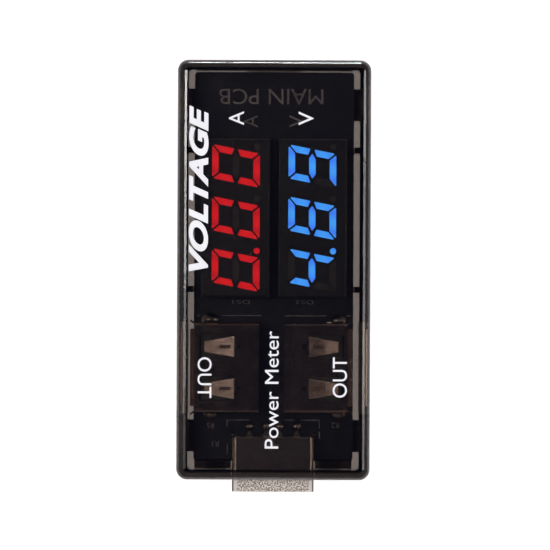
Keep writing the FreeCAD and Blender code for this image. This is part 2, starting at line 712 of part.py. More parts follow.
def make_plug():
    """The plug: a nickel-plated shell, an insulator and four contact blades with solder tails."""
    end = along("- plug_reach")
    half = "plug_width / 2"
    inside_half = "plug_width / 2 - sheet_metal"

    shell = new_body("plug_shell")
    outer = rectangle(minus("0", half), half, "plug_rise", "plug_rise + plug_tall")
    tube = prism(shell, "tube", "XZ", [outer], "0", PLUG_LENGTH)
    round_edges(shell, "corners", tube, "plug_corner", lambda edge: edge.BoundBox.YLength > 1)
    inside = rectangle(minus("0", inside_half), inside_half,
                       "plug_rise + sheet_metal", "plug_rise + plug_tall - sheet_metal")
    hollow = prism(shell, "inside", "XZ", [inside], "- 1", plus(PLUG_LENGTH, "1"), cut=True)
    inner = value(inside_half)
    round_edges(shell, "inner_corners", hollow, "plug_corner - sheet_metal",
                lambda edge: edge.BoundBox.YLength > 1 and abs(abs(edge.BoundBox.XMin) - inner) < 1e-3)
    dimple = [("0", "plug_reach + dimple_along", "dimple_radius"),
              ("0", "plug_reach + dimple_along", "dimple_radius - dimple_width")]
    plug_top = "plug_rise + plug_tall"
    prism(shell, "dimple", "XY", dimple, minus(plug_top, "dimple_depth"), plus(plug_top, "1"), cut=True)
    stand(shell, "0", end, BOARD_FACE)

    tongue = new_body("plug_tongue")
    tongue_half = "plug_tongue_width / 2"
    tongue_low = "plug_rise + sheet_metal + 0.02"
    tongue_high = plus(tongue_low, "plug_tongue_thickness")
    bar = rectangle(minus("0", tongue_half), tongue_half, tongue_low, tongue_high)
    prism(tongue, "bar", "XZ", [bar], "0.3", PLUG_LENGTH)
    grooves = [centred(place, "( %s ) / 2" % PLUG_LENGTH, "contact_width + 0.1", plus(PLUG_LENGTH, "1"))
               for place in CONTACTS]
    prism(tongue, "grooves", "XY", grooves, minus(tongue_high, "contact_thickness + 0.05"),
          plus(tongue_high, "0.1"), cut=True)
    block_half = "plug_tongue_width / 2 - 0.2"
    block = rectangle(minus("0", block_half), block_half, minus(tongue_high, "0.02"),
                      "plug_rise + plug_tall - sheet_metal - 0.05")
    prism(tongue, "block", "XZ", [block], minus(PLUG_LENGTH, "plug_block"), PLUG_LENGTH)
    stand(tongue, "0", end, BOARD_FACE)

    contacts = new_body("plug_contacts")
    back = plus(PLUG_LENGTH, "0.05")
    strip = "contact_thickness"
    top = minus(tongue_high, "0.05")
    side_view = [("1.0", minus(top, strip)), (back, minus(top, strip)), (back, "0"),
                 (plus(back, strip), "0"), (plus(back, strip), top), ("1.0", top)]
    for number, place in enumerate(CONTACTS, start=1):
        low = plus(place, "- contact_width / 2")
        high = plus(place, "contact_width / 2")
        prism(contacts, "blade_%d" % number, "YZ", [side_view], low, high)
    narrow = plus(PLUG_LENGTH, "plug_tail_taper")
    tip = plus(PLUG_LENGTH, "plug_tail_reach")
    tails = []
    for place in CONTACTS:
        wide_left, wide_right = plus(place, "- contact_width / 2"), plus(place, "contact_width / 2")
        left, right = plus(place, "- plug_tail_width / 2"), plus(place, "plug_tail_width / 2")
        tails.append([(wide_left, back), (wide_right, back), (right, narrow), (right, tip),
                      (left, tip), (left, narrow)])
    prism(contacts, "tails", "XY", tails, "0", strip)
    stand(contacts, "0", end, BOARD_FACE)


# ---------------------------------------------------------------- parts soldered to the back of the board

CHIP_ACROSS = "display_offset"
SHUNT_ALONG = "16.4"
RESISTOR_PLACES = [("- 7.2", "44"), ("- 5.6", "44"), ("- 4.0", "44"), ("- 7.2", "34"), ("- 5.6", "34"),
                   ("4.0", "32.5"), ("7.2", "32.5"), ("0", "22"), ("0", "33"), ("0", "41")]
CAPACITOR_PLACES = [("- 2.5", "54.5"), ("2.5", "54.5"), ("4.0", "45.5"), ("7.2", "45.5"), ("0", "27")]


def hang(body, name, outlines, tall):
    """Adds pieces that hang under the board by their own height."""
    return prism(body, name, "XY", outlines, minus(BOARD_BACK, tall), BOARD_BACK)


def make_board_parts():
    """The chip, regulator, shunts and small parts, and the solder that holds the pins."""
    chip = new_body("microcontroller")
    chip_box = [centred(CHIP_ACROSS, along("display_along"), "chip_width", "chip_length")]
    prism(chip, "package", "XY", chip_box, minus(BOARD_BACK, "chip_tall + 0.1"), minus(BOARD_BACK, "0.1"))

    leads = new_body("microcontroller_leads")
    feet = []
    for side in ("- 1", "1"):
        across = plus(CHIP_ACROSS, "%s * ( chip_width + chip_lead_reach ) / 2" % side)
        for step in range(-4, 6):
            up = plus(along("display_along"), "( %d - 0.5 ) * chip_lead_pitch" % step)
            feet.append(centred(across, up, "chip_lead_reach", "chip_lead_width"))
    hang(leads, "feet", feet, "0.25")

    regulator = new_body("voltage_regulator")
    hang(regulator, "package", [centred("0", along("56.5"), "regulator_width", "regulator_length")],
         "regulator_tall")

    shunts = new_body("current_shunts")
    bars = [centred(across, along(SHUNT_ALONG), "shunt_width", "shunt_length") for across in ("- 5.6", "5.6")]
    hang(shunts, "bars", bars, "shunt_tall")

    resistors = new_body("chip_resistors")
    places = [centred(across, along(up), "small_width", "small_length") for across, up in RESISTOR_PLACES]
    hang(resistors, "bars", places, "resistor_tall")

    capacitors = new_body("chip_capacitors")
    places = [centred(across, along(up), "small_width", "small_length") for across, up in CAPACITOR_PLACES]
    hang(capacitors, "bars", places, "capacitor_tall")

    solder = new_body("pin_solder")
    pins = display_pin_places()
    tails, legs = socket_tail_places()
    cones = [(across, up, "solder_radius") for across, up in pins + tails]
    prism(solder, "cones", "XY", cones, minus(BOARD_BACK, "solder_tall"), BOARD_BACK)
    holes = [centred(across, up, "pin_thickness", "pin_thickness") for across, up in pins]
    holes += [centred(across, up, "tail_thickness", "tail_width") for across, up in tails]
    prism(solder, "pin_holes", "XY", holes, "0.5", plus(BOARD_BACK, "1"), cut=True)


# ---------------------------------------------------------------- build, check and write

make_front_cover()
make_back_cover()
make_main_board()
for display_side, display_sign in SIDES.items():
    make_display(display_side, display_sign)
make_socket("left", "- 1", 0.0)
make_socket("right", "1", 180.0)
make_plug()
make_board_parts()
doc.recompute()

for thing in doc.Objects:
    bad = [word for word in thing.State if word in ("Invalid", "Error")]
    if bad:
        raise RuntimeError("%s is %s" % (thing.Name, ", ".join(bad)))

for body in bodies:
    if body.Shape.isNull() or not body.Shape.isValid():
        raise RuntimeError("%s has no valid shape" % body.Label)

os.makedirs("parts", exist_ok=True)
for body in bodies:
    body.Shape.exportStep("parts/%s.step" % body.Label)
    print(body.Label, len(body.Shape.Solids), round(body.Shape.Volume, 3))
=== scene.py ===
import math

import bpy
import numpy as np
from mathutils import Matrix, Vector


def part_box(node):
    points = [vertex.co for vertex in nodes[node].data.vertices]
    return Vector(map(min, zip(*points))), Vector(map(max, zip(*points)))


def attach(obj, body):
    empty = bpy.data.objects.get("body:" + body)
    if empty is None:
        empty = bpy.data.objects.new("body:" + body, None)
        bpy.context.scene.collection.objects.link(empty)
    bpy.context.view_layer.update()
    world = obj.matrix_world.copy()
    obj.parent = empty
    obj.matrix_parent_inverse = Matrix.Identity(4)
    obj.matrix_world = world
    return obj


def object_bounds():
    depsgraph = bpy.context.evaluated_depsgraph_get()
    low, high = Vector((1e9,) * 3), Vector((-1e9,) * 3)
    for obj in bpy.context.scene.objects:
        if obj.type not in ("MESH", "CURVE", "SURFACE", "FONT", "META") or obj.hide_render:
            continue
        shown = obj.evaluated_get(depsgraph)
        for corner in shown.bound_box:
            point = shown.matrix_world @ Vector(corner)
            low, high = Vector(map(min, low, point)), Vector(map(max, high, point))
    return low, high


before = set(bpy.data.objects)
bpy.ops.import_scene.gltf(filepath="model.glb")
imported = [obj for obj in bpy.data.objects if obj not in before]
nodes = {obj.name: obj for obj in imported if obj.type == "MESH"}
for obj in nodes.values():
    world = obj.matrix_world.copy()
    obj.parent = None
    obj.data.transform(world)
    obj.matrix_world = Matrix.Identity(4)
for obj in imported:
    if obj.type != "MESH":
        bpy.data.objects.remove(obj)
cad_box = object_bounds()


# ---- Camera -------------------------------------------------------------------------------------
# A long lens straight above the meter, which lies on its back with its plug towards the bottom of
# the view. The camera is turned a quarter of a degree about its own line of sight.

MM = 0.001
LENS = 400.0
SENSOR = 36.0
FIELD_OF_VIEW = 80.5 * MM
FRAME_TURN = math.radians(0.27)
AIM = Vector((0.19 * MM, 0.16 * MM, cad_box[1][2]))

camera_data = bpy.data.cameras.new("camera")
camera_data.lens = LENS
camera_data.sensor_width = SENSOR
camera_data.clip_start = 0.01
camera_data.clip_end = 20.0
camera = bpy.data.objects.new("camera", camera_data)
bpy.context.scene.collection.objects.link(camera)
camera.location = AIM + Vector((0, 0, LENS / SENSOR * FIELD_OF_VIEW))
camera.rotation_euler = (0, 0, FRAME_TURN)
bpy.context.scene.camera = camera
bpy.context.scene.view_settings.view_transform = "Standard"


# ---- Studio -------------------------------------------------------------------------------------
# A white light table under the meter, a room that is pale at its sides and dim overhead, and soft
# boxes in two rows beside the meter, which draw the bright lines along the edges of its case.

WHITE = (1.0, 1.0, 1.0, 1.0)
TABLE_PAINT = (0.86, 0.86, 0.86, 1)
TABLE_GLOW = 0.80
TABLE_REACH = 1.5
TABLE_GAP = 0.02 * MM
ROOM_SIDES = (0.60, 0.50, 0.49, 1)
ROOM_OVERHEAD = (0.040, 0.045, 0.085, 1)
ROOM_STEP = (0.80, 0.99)


def new_material(name):
    """An empty node material and its output node."""
    made = bpy.data.materials.new(name)
    made.use_nodes = True
    made.node_tree.nodes.clear()
    return made, made.node_tree.nodes.new("ShaderNodeOutputMaterial")


def node(tree, kind, **settings):
    """Adds one node; settings that name an input socket set it or link it, others set a property."""
    made = tree.nodes.new("ShaderNode" + kind)
    for key, given in settings.items():
        if hasattr(made, key):
            setattr(made, key, given)
    for key, given in settings.items():
        if hasattr(made, key):
            continue
        socket = made.inputs[int(key[1:])] if key[0] == "_" else made.inputs[key.replace("_", " ")]
        if isinstance(given, bpy.types.NodeSocket):
            tree.links.new(given, socket)
        else:
            socket.default_value = given
    return made


corners = ((-TABLE_REACH, -TABLE_REACH), (TABLE_REACH, -TABLE_REACH), (TABLE_REACH, TABLE_REACH),
           (-TABLE_REACH, TABLE_REACH))
floor_mesh = bpy.data.meshes.new("floor")
floor_mesh.from_pydata([(x, y, -TABLE_GAP) for x, y in corners], [], [(0, 1, 2, 3)])
floor = bpy.data.objects.new("floor", floor_mesh)
bpy.context.scene.collection.objects.link(floor)
table_white, out = new_material("table_white")
tree = table_white.node_tree
paint = node(tree, "BsdfDiffuse", Color=TABLE_PAINT)
glow = node(tree, "Emission", Color=WHITE, Strength=TABLE_GLOW)
both = node(tree, "AddShader", _0=paint.outputs[0], _1=glow.outputs[0])
tree.links.new(both.outputs[0], out.inputs[0])
floor_mesh.materials.append(table_white)


def blend_colours(tree, amount, first, second):
    """A colour mixed between two by an amount from 0 to 1."""
    made = tree.nodes.new("ShaderNodeMix")
    made.data_type = "RGBA"
    for socket, given in zip((made.inputs[0], made.inputs[6], made.inputs[7]), (amount, first, second)):
        if isinstance(given, bpy.types.NodeSocket):
            tree.links.new(given, socket)
        else:
            socket.default_value = given
    return made.outputs[2]


def ramp(tree, amount, low, high):
    """A smooth step of an amount from 0 at low to 1 at high."""
    return node(tree, "MapRange", interpolation_type="SMOOTHSTEP", Value=amount, From_Min=low,
                From_Max=high).outputs[0]


world = bpy.data.worlds.new("room")
bpy.context.scene.world = world
world.use_nodes = True
tree = world.node_tree
heading = node(tree, "SeparateXYZ", _0=node(tree, "TexCoord").outputs["Generated"])
overhead = ramp(tree, heading.outputs["Z"], *ROOM_STEP)
room = blend_colours(tree, overhead, ROOM_SIDES, ROOM_OVERHEAD)
tree.links.new(room, tree.nodes["Background"].inputs[0])


def soft_box(name, place, aim, wide, tall, power):
    """An area light that faces its aim; its width is level, and its height leans with the light."""
    data = bpy.data.lights.new(name, "AREA")
    data.shape = "RECTANGLE"
    data.size = wide
    data.size_y = tall
    data.energy = power
    lamp = bpy.data.objects.new(name, data)
    lamp.location = place
    lamp.rotation_mode = "QUATERNION"
    lamp.rotation_quaternion = (Vector(aim) - Vector(place)).to_track_quat("-Z", "Y")
    bpy.context.scene.collection.objects.link(lamp)


BANK_PLACES = (0.041, 0.0135, -0.0135, -0.041)
BANK_WIDE = 0.027
for number, (along, power) in enumerate(zip(BANK_PLACES, (0.27, 0.17, 0.07, 0.025))):
    soft_box("left_bank_%d" % number, (-0.205, along, 0.57), (0, along, 0), BANK_WIDE, 0.22, power)
for number, (along, power) in enumerate(zip(BANK_PLACES, (0.16, 0.11, 0.09, 0.08))):
    soft_box("right_bank_%d" % number, (0.36, along, 0.47), (0, along, 0), BANK_WIDE, 0.28, power)
soft_box("far_box", (0.0, 0.75, 0.056), (0, 0, 0.01), 0.07, 0.1, 0.95)


# ---- Covers -------------------------------------------------------------------------------------
# Two moulded halves of smoke-tinted polycarbonate, polished outside. They meet at a lip and a groove,
# and four catches inside their long walls snap them together.

SMOKE_TINT = (0.34, 0.27, 0.225, 1)
SMOKE_DENSITY = 960.0
SHADOW_TINT = (0.95, 0.95, 0.95, 1)


def math_node(tree, operation, first, second=0.0, third=0.0):
    """One Math node's result; each input is a number or a socket."""
    return node(tree, "Math", operation=operation, _0=first, _1=second, _2=third).outputs[0]


smoked, out = new_material("smoked_polycarbonate")
tree = smoked.node_tree
where = node(tree, "TexCoord").outputs["Object"]
flow = node(tree, "TexNoise", Vector=where, Scale=90.0, Detail=2.0, Roughness=0.4)
orange_peel = node(tree, "TexNoise", Vector=where, Scale=700.0, Detail=1.0)
ripple = math_node(tree, "MULTIPLY_ADD", flow.outputs[0], 1.0, orange_peel.outputs[0])
moulded = node(tree, "Bump", Strength=0.02, Distance=0.0004, Height=ripple)
wear = ramp(tree, flow.outputs[0], 0.45, 0.75)
polish = math_node(tree, "MULTIPLY_ADD", wear, 0.03, 0.02)
plastic = node(tree, "BsdfPrincipled", Base_Color=WHITE, Transmission_Weight=1.0, IOR=1.5,
               Roughness=polish, Normal=moulded.outputs[0])
clear = node(tree, "BsdfTransparent", Color=SHADOW_TINT)
path = node(tree, "LightPath")
surface = node(tree, "MixShader", _0=path.outputs["Is Shadow Ray"], _1=plastic.outputs[0],
               _2=clear.outputs[0])
tint = node(tree, "VolumeAbsorption", Color=SMOKE_TINT, Density=SMOKE_DENSITY)
tree.links.new(surface.outputs[0], out.inputs["Surface"])
tree.links.new(tint.outputs[0], out.inputs["Volume"])
for cover in ("front_cover", "back_cover"):
    nodes[cover].material_slots[0].material = smoked


# ---- Main board ---------------------------------------------------------------------------------
# A fibreglass board under a black solder mask with a faint blue cast. It carries the displays, both
# sockets and the plug, and is held between the ribs of the two covers.

def finish_material(name, colour, roughness, metallic=0.0, grain=900.0, spread=0.25, bump=0.1,
                    coat=0.0, glow=0.0):
    """A plain moulded or plated finish whose colour, gloss and surface all vary with a grain.

    The grain is the mean of a fine noise and a noise twelve times as broad; a glow adds painted light.
    """
    made, out = new_material(name)
    tree = made.node_tree
    where = node(tree, "TexCoord").outputs["Object"]
    fine = node(tree, "TexNoise", Vector=where, Scale=grain, Detail=4.0, Roughness=0.6).outputs[0]
    broad = node(tree, "TexNoise", Vector=where, Scale=grain / 12, Detail=2.0).outputs[0]
    both = math_node(tree, "MULTIPLY_ADD", fine, 0.5, math_node(tree, "MULTIPLY", broad, 0.5))
    dark = tuple(channel * (1 - spread) for channel in colour) + (1,)
    light = tuple(min(1.0, channel * (1 + spread)) for channel in colour) + (1,)
    hue = blend_colours(tree, ramp(tree, both, 0.35, 0.65), dark, light)
    gloss = math_node(tree, "MULTIPLY_ADD", both, 0.3 * roughness, 0.85 * roughness)
    pits = node(tree, "Bump", Strength=bump, Distance=0.00005, Height=fine)
    skin = node(tree, "BsdfPrincipled", Base_Color=hue, Roughness=gloss, Metallic=metallic,
                Coat_Weight=coat, Normal=pits.outputs[0], Emission_Color=hue, Emission_Strength=glow)
    tree.links.new(skin.outputs[0], out.inputs[0])
    return made


solder_mask = finish_material("black_solder_mask", (0.006, 0.008, 0.019), 0.3, grain=500.0, coat=0.2)
nodes["main_board"].material_slots[0].material = solder_mask


# ---- Displays -----------------------------------------------------------------------------------
# Moulded black blocks soldered to the board by their pins. Each bar is a clear epoxy light piece, cast
# in the block, with one die under its middle; the left block's dies are red, the right one's blue.

display_black = finish_material("display_black", (0.009, 0.009, 0.013), 0.35, grain=1500.0, bump=0.05)
dark_epoxy = finish_material("dark_epoxy", (0.040, 0.036, 0.036), 0.4, grain=800.0)
tinned = finish_material("tinned_metal", (0.72, 0.71, 0.68), 0.28, metallic=1.0, grain=1200.0)

DIGIT_PITCH = 7.64 * MM
DIGIT_LEAN = 0.2
DIGIT_HALF_TALL = 3.025 * MM
DIGIT_HALF_WIDE = 2.015 * MM
POINT_PLACE = (2.82 * MM, 3.08 * MM, 0)
DIE_HALF = 0.2 * MM
GLOW_REACH = 1.9 * MM


def lit_epoxy(name, display, middle_colour, edge_colour, strength):
    """Light pieces that are brightest over their dies and deepen in colour towards their ends.

    The pattern folds every bar onto one quarter digit: the lean is taken off, the digits are wrapped to
    one, and both distances lose their sign. The glow falls with the distance to the nearest of the dies,
    which are those of that quarter's three bars and of its point.
    """
    made, out = new_material(name)
    tree = made.node_tree
    low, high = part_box(display)
    middle = [(a + b) / 2 for a, b in zip(low, high)]
    where = node(tree, "TexCoord").outputs["Object"]
    local = node(tree, "VectorMath", operation="SUBTRACT", _0=where, _1=middle).outputs[0]
    axes = node(tree, "SeparateXYZ", _0=local)
    up = math_node(tree, "MULTIPLY", axes.outputs["X"], -1.0)
    upright = math_node(tree, "MULTIPLY_ADD", up, -DIGIT_LEAN, axes.outputs["Y"])
    wrapped = math_node(tree, "WRAP", upright, DIGIT_PITCH / 2, -DIGIT_PITCH / 2)
    across = math_node(tree, "ABSOLUTE", wrapped)
    tall = math_node(tree, "ABSOLUTE", up)
    folded = node(tree, "CombineXYZ", X=across, Y=tall).outputs[0]
    nearest = node(tree, "VectorMath", operation="LENGTH", _0=folded).outputs["Value"]
    for die in ((0, DIGIT_HALF_TALL, 0), (DIGIT_HALF_WIDE, DIGIT_HALF_TALL / 2, 0), POINT_PLACE):
        far = node(tree, "VectorMath", operation="DISTANCE", _0=folded, _1=die).outputs["Value"]
        nearest = math_node(tree, "MINIMUM", nearest, far)
    falloff = ramp(tree, nearest, DIE_HALF, GLOW_REACH)
    hue = blend_colours(tree, falloff, middle_colour, edge_colour)
    fine = node(tree, "TexNoise", Vector=where, Scale=1800.0, Detail=3.0).outputs[0]
    power = math_node(tree, "MULTIPLY_ADD", fine, 0.12 * strength, 0.94 * strength)
    skin = node(tree, "BsdfPrincipled", Base_Color=(0.02, 0.02, 0.02, 1), Roughness=0.3,
                Emission_Color=hue, Emission_Strength=power)
    tree.links.new(skin.outputs[0], out.inputs[0])
    return made


lit_red = lit_epoxy("lit_red", "left_display_case", (1.0, 0.008, 0.016, 1), (0.60, 0.003, 0.010, 1), 1.3)
lit_blue = lit_epoxy("lit_blue", "right_display_case", (0.05, 0.34, 1.0, 1), (0.04, 0.17, 1.0, 1), 2.3)
for side, lit in (("left", lit_red), ("right", lit_blue)):
    nodes[side + "_display_case"].material_slots[0].material = display_black
    nodes[side + "_display_lit_segments"].material_slots[0].material = lit
    nodes[side + "_display_dark_segments"].material_slots[0].material = dark_epoxy
    nodes[side + "_display_pins"].material_slots[0].material = tinned


# ---- Sockets ------------------------------------------------------------------------------------
# Folded shells of plated steel, stood on the board by their legs. Each has stamped leaf springs, a
# black moulded insulator, and contacts flashed with gold whose tinned tails pass through the board.

plated_steel = finish_material("plated_steel", (0.31, 0.25, 0.22), 0.16, metallic=1.0, grain=500.0,
                               bump=0.02)
# The springs are of the shell's plated steel; their darker colour is painted shade that dims their
# reflections.
spring_steel_painted_shade = finish_material("spring_steel_painted_shade", (0.20, 0.155, 0.13), 0.2, metallic=1.0, grain=500.0,
                               bump=0.05)
insulator_black = finish_material("insulator_black", (0.05, 0.05, 0.05), 0.5, grain=1000.0)
gold_flash = finish_material("gold_flash", (0.86, 0.62, 0.27), 0.22, metallic=1.0, grain=1200.0)
for side in ("left", "right"):
    nodes[side + "_socket_shell"].material_slots[0].material = plated_steel
    for part in ("front_springs", "back_springs"):
        nodes["%s_socket_%s" % (side, part)].material_slots[0].material = spring_steel_painted_shade
    nodes[side + "_socket_tongue"].material_slots[0].material = insulator_black
    nodes[side + "_socket_contacts"].material_slots[0].material = gold_flash
    nodes[side + "_socket_tails"].material_slots[0].material = tinned


# ---- Plug ---------------------------------------------------------------------------------------
# A shell of sheet metal with a grainy nickel plate, a white moulded insulator and four blades. The
# blades' tails and the shell's corners are soldered to the board, and its mouth stands out of the case.

PLUG_REACH = 1.8 * MM
SHOULDER = (5.2 * MM, 5.35 * MM)
RIM = (5.72 * MM, 5.86 * MM)
GRIT_DARK, GRIT_LIGHT = (0.38, 0.33, 0.27, 1), (1.0, 0.99, 0.93, 1)
# The rim colour is a painted dark shade line along the shell's edges; the inside colour is painted shade.
RIM_PAINTED_SHADE = (0.10, 0.09, 0.085, 1)
INSIDE_PAINTED_SHADE = (0.48, 0.41, 0.34, 1)

foot = cad_box[0][1] + PLUG_REACH


def nickel_with_painted_light(name, edge_along):
    """Nickel that is blasted outside the case and smooth inside it, coloured with painted light.

    A grain noise pits the outside and flecks its colour; the change is a smooth step along the plug, and
    the darker colour inside the case is painted shade. The shoulders, a band of the distance from the
    middle, take the light colour and more matte share as a painted highlight; the rims get painted shade.
    """
    made, out = new_material(name)
    tree = made.node_tree
    where = node(tree, "TexCoord").outputs["Object"]
    axes = node(tree, "SeparateXYZ", _0=where)
    outside = ramp(tree, axes.outputs["Y"], edge_along + 0.2 * MM, edge_along - 0.1 * MM)
    aside = math_node(tree, "ABSOLUTE", axes.outputs["X"])
    # The rims get a painted dark shade line, and the shoulders a painted highlight in the light colour.
    rim_shade = ramp(tree, aside, *RIM)
    shoulder_highlight = math_node(tree, "SUBTRACT", ramp(tree, aside, *SHOULDER), rim_shade)
    grit = node(tree, "TexNoise", Vector=where, Scale=4900.0, Detail=0.0).outputs[0]
    flecks = math_node(tree, "MAXIMUM", ramp(tree, grit, 0.42, 0.58), shoulder_highlight)
    bright = blend_colours(tree, flecks, GRIT_DARK, GRIT_LIGHT)
    bright = blend_colours(tree, rim_shade, bright, RIM_PAINTED_SHADE)
    # Inside the case the colour is darker: painted shade.
    hue = blend_colours(tree, outside, INSIDE_PAINTED_SHADE, bright)
    gloss = math_node(tree, "MULTIPLY_ADD", outside, 0.38, 0.17)
    depth = math_node(tree, "MULTIPLY_ADD", outside, 0.5, 0.03)
    pits = node(tree, "Bump", Strength=depth, Distance=0.00004, Height=grit)
    skin = node(tree, "BsdfPrincipled", Base_Color=hue, Roughness=gloss, Metallic=1.0,
                Normal=pits.outputs[0])
    glow = node(tree, "BsdfDiffuse", Color=bright, Normal=pits.outputs[0])
    # The shoulders take a larger matte share, which brightens their painted highlight.
    lift = math_node(tree, "MULTIPLY_ADD", shoulder_highlight, 0.5, 0.4)
    share = math_node(tree, "MULTIPLY", outside, lift)
    both = node(tree, "MixShader", _0=share, _1=skin.outputs[0], _2=glow.outputs[0])
    tree.links.new(both.outputs[0], out.inputs[0])
    return made


plug_nickel = nickel_with_painted_light("plug_nickel", foot)
insulator_white = finish_material("insulator_white", (0.78, 0.77, 0.73), 0.45, grain=900.0, spread=0.06)
nodes["plug_shell"].material_slots[0].material = plug_nickel
nodes["plug_tongue"].material_slots[0].material = insulator_white


def gold_to_tin(name, change_along):
    """Blades flashed with gold where they wipe, and dipped in tin where they are soldered.

    The colour is a smooth step along the plug, with a fine noise in its shade and its gloss.
    """
    made, out = new_material(name)
    tree = made.node_tree
    where = node(tree, "TexCoord").outputs["Object"]
    along = node(tree, "SeparateXYZ", _0=where).outputs["Y"]
    fine = node(tree, "TexNoise", Vector=where, Scale=1200.0, Detail=3.0).outputs[0]
    gold = blend_colours(tree, fine, (0.74, 0.50, 0.20, 1), (0.95, 0.72, 0.34, 1))
    tin = blend_colours(tree, fine, (0.22, 0.19, 0.17, 1), (0.36, 0.32, 0.29, 1))
    dipped = ramp(tree, along, change_along - 0.2 * MM, change_along + 0.2 * MM)
    gloss = math_node(tree, "MULTIPLY_ADD", fine, 0.1, 0.2)
    skin = node(tree, "BsdfPrincipled", Base_Color=blend_colours(tree, dipped, gold, tin), Metallic=1.0,
                Roughness=gloss)
    tree.links.new(skin.outputs[0], out.inputs[0])
    return made


nodes["plug_contacts"].material_slots[0].material = gold_to_tin("plug_blades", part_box("plug_shell")[1][1])


# ---- Parts on the back of the board -------------------------------------------------------------
# Black epoxy packages, sense resistors and ceramic capacitors, soldered flat to the board, and the
# cones of solder that hold the pins which pass through it.

chip_epoxy = finish_material("chip_epoxy", (0.018, 0.018, 0.019), 0.5, grain=1600.0, bump=0.3)
ceramic_tan = finish_material("ceramic_tan", (0.42, 0.29, 0.18), 0.45, grain=1400.0)
bright_solder = finish_material("bright_solder", (0.70, 0.70, 0.71), 0.18, metallic=1.0, grain=500.0)
for name in ("microcontroller", "voltage_regulator", "current_shunts", "chip_resistors"):
    nodes[name].material_slots[0].material = chip_epoxy
nodes["microcontroller_leads"].material_slots[0].material = tinned
nodes["chip_capacitors"].material_slots[0].material = ceramic_tan
nodes["pin_solder"].material_slots[0].material = bright_solder


# ---- Printed lettering on the front cover -------------------------------------------------------
# White ink, pad-printed on the outside of the front cover, a few hundredths of a millimetre thick:
# the two readings' units over their displays, what each socket is, and the meter's name.

INK_TALL = 0.03 * MM
FACE = cad_box[1][2]
UPWARDS, DOWNWARDS, OVER = (0, 1), (0, -1), (-1, 0)

# The ink also glows a little though it is no lamp: painted light.
white_ink = finish_material("white_ink", (0.84, 0.90, 0.95), 0.5, grain=2500.0, spread=0.05, glow=0.34)


def spot(across, along):
    """A place in millimetres across from the meter's middle and along from the case's plug end."""
    return (across * MM, foot + along * MM)


def fix_piece(name, mesh, material, body="meter"):
    """A finished mesh as an object of one material that rides on a body."""
    mesh.materials.clear()
    mesh.materials.append(material)
    piece = bpy.data.objects.new(name, mesh)
    bpy.context.scene.collection.objects.link(piece)
    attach(piece, body)


def print_words(name, words, middle, length, tall, reads, level, ink, lean=0.0, bold=0.0):
    """Words as a thin raised mesh, stretched to a length and height about a middle.

    reads is the direction that the words run in; the letters stand a quarter turn to the left of it.
    """
    curve = bpy.data.curves.new(name, "FONT")
    curve.body = words
    curve.shear = lean
    curve.offset = bold
    curve.align_x = "CENTER"
    curve.align_y = "CENTER"
    curve.extrude = 0.02
    curve.resolution_u = 6
    draft = bpy.data.objects.new(name + "_draft", curve)
    bpy.context.scene.collection.objects.link(draft)
    bpy.context.view_layer.update()
    mesh = bpy.data.meshes.new_from_object(draft.evaluated_get(bpy.context.evaluated_depsgraph_get()))
    bpy.data.objects.remove(draft)
    points = np.empty(len(mesh.vertices) * 3)
    mesh.vertices.foreach_get("co", points)
    points = points.reshape(-1, 3)
    low, high = points.min(0), points.max(0)
    unit = (points - (low + high) / 2) / (high - low)
    along, up, through = unit[:, 0] * length, unit[:, 1] * tall, (unit[:, 2] + 0.5) * INK_TALL
    placed = np.column_stack((middle[0] + reads[0] * along - reads[1] * up,
                              middle[1] + reads[1] * along + reads[0] * up, level + through))
    mesh.vertices.foreach_set("co", placed.ravel())
    fix_piece(name, mesh, ink)


for name, words, middle, length, tall, reads, lean, bold in (
        ("cover_word", "VOLTAGE", spot(-11.05, 42.7), 24.3, 2.85, UPWARDS, 0.3, 0.04),
        ("amps_letter", "A", spot(-5.56, 53.0), 2.0, 2.2, UPWARDS, 0.0, 0.0),
        ("volts_letter", "V", spot(4.65, 53.0), 2.0, 2.2, UPWARDS, 0.0, 0.0),
        ("left_out", "OUT", spot(-10.05, 15.0), 5.95, 2.05, DOWNWARDS, 0.0, 0.0),
        ("right_out", "OUT", spot(9.75, 15.1), 5.9, 2.1, UPWARDS, 0.0, 0.0),
        ("centre_line", "Power Meter", spot(-0.2, 13.25), 17.2, 2.0, UPWARDS, 0.0, 0.0)):
    print_words(name, words, middle, length * MM, tall * MM, reads, FACE, white_ink, lean, bold)


# ---- Board legend -------------------------------------------------------------------------------
# Grey ink, screen-printed on the front of the board: its name, the marks of its parts, and the
# outlines that show where the sockets and the plug are to be soldered.

BOARD_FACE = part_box("main_board")[1][2]
LINE_WIDE = 0.13 * MM

board_ink = finish_material("board_ink", (0.30, 0.29, 0.29), 0.6, grain=3000.0, spread=0.3)


def print_lines(name, strokes, wide, level, ink):
    """Straight strokes as one mesh of thin bars, from an array of strokes, ends and places.

    A bar's four corners are its two ends, each moved half a width to either side, square to the stroke;
    all four are repeated one thickness of ink higher, and every bar has the same six faces.
    """
    start, end = strokes[:, 0], strokes[:, 1]
    run = (end - start) / np.linalg.norm(end - start, axis=1, keepdims=True)
    side = np.column_stack((-run[:, 1], run[:, 0])) * wide / 2
    corners = np.stack((start - side, end - side, end + side, start + side), axis=1)
    levels = np.repeat((level, level + INK_TALL), 4)[None, :, None]
    points = np.dstack((np.tile(corners, (1, 2, 1)), np.broadcast_to(levels, (len(strokes), 8, 1))))
    rings = np.array(((4, 5, 6, 7), (3, 2, 1, 0), (0, 1, 5, 4), (1, 2, 6, 5), (2, 3, 7, 6), (3, 0, 4, 7)))
    faces = rings + 8 * np.arange(len(strokes))[:, None, None]
    mesh = bpy.data.meshes.new(name)
    mesh.from_pydata(points.reshape(-1, 3).tolist(), [], faces.reshape(-1, 4).tolist())
    fix_piece(name, mesh, ink)


